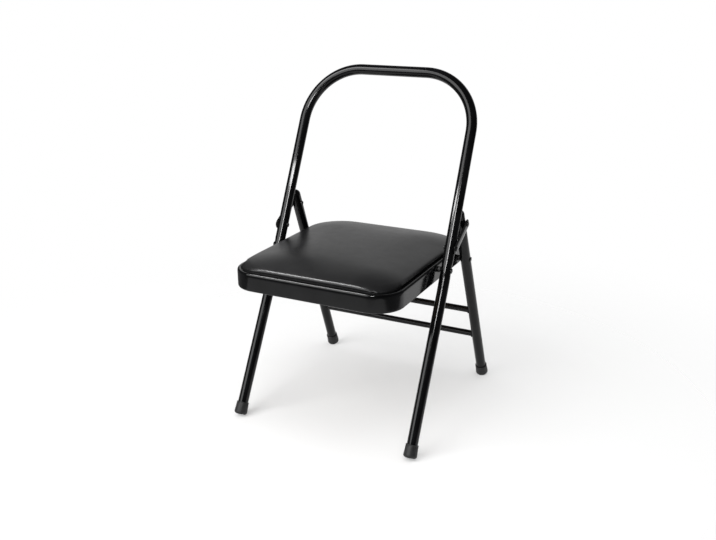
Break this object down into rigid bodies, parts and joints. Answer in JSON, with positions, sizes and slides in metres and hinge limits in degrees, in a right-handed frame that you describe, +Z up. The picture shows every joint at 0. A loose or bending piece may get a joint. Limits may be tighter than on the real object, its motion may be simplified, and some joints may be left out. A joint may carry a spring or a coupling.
{
  "type": "backless yoga chair",
  "caption": "Folding chair with a bowed tube frame, padded square seat and an open back for supported yoga poses.",
  "frame": {"origin": "on the floor under the middle of the unfolded chair's overall box", "axes": "+Z up, front of the seat towards -Y, +X towards the sitter's left, which is the right side in a front view"},
  "size_m": [0.4822, 0.545, 0.8034],
  "materials": {
    "black_paint": "gloss",
    "rivet_steel": "gloss",
    "foot_plastic": "satin",
    "spacer_plastic": "satin",
    "pad_vinyl": "smooth satin vinyl",
    "board_wood": "raw"
  },
  "bodies": {
    "front_frame": {"front_frame_tube": "black_paint", "front_foot_cap_left": "foot_plastic", "link_front_rivet_left": "rivet_steel", "link_front_washer_left": "spacer_plastic", "seat_front_rivet_left": "rivet_steel", "seat_front_spacer_left": "spacer_plastic", "front_foot_cap_right": "foot_plastic", "link_front_rivet_right": "rivet_steel", "link_front_washer_right": "spacer_plastic", "seat_front_rivet_right": "rivet_steel", "seat_front_spacer_right": "spacer_plastic"},
    "left_link": {"link_plate_left": "black_paint"},
    "right_link": {"link_plate_right": "black_paint"},
    "rear_legs": {"upper_crossbar": "black_paint", "lower_crossbar": "black_paint", "rear_leg_left": "black_paint", "rear_foot_cap_left": "foot_plastic", "link_rear_rivet_left": "rivet_steel", "link_rear_washer_left": "spacer_plastic", "seat_rear_rivet_left": "rivet_steel", "seat_rear_spacer_left": "spacer_plastic", "rear_leg_right": "black_paint", "rear_foot_cap_right": "foot_plastic", "link_rear_rivet_right": "rivet_steel", "link_rear_washer_right": "spacer_plastic", "seat_rear_rivet_right": "rivet_steel", "seat_rear_spacer_right": "spacer_plastic"},
    "seat": {"seat_pan": "black_paint", "seat_board": "board_wood", "seat_pad": "pad_vinyl", "seat_screw_1": "rivet_steel", "seat_screw_2": "rivet_steel", "seat_screw_3": "rivet_steel", "seat_screw_4": "rivet_steel", "seat_rear_stub_left": "rivet_steel", "seat_rear_stub_right": "rivet_steel"}
  },
  "joints": [
    {"name": "seat_fold", "type": "hinge", "parent": "front_frame", "child": "seat", "pos_m": [0, -0.02059, 0.38], "axis": [1, 0, 0], "range_deg": [-92, 0]},
    {"name": "left_link_front", "type": "hinge", "parent": "front_frame", "child": "left_link", "pos_m": [-0.2359, 0.0013, 0.426], "axis": [1, 0, 0], "range_deg": [-117.8, 0]},
    {"name": "right_link_front", "type": "hinge", "parent": "front_frame", "child": "right_link", "pos_m": [0.2359, 0.0013, 0.426], "axis": [1, 0, 0], "range_deg": [-117.8, 0]},
    {"name": "rear_legs_link", "type": "hinge", "parent": "left_link", "child": "rear_legs", "pos_m": [-0.2359, 0.06923, 0.466], "axis": [1, 0, 0], "range_deg": [0, 70]}
  ],
  "couplings": [
    {"joint": "left_link_front", "follows": "seat_fold", "ratio": 1.28},
    {"joint": "right_link_front", "follows": "seat_fold", "ratio": 1.28},
    {"joint": "rear_legs_link", "follows": "seat_fold", "ratio": -0.76}
  ]
}
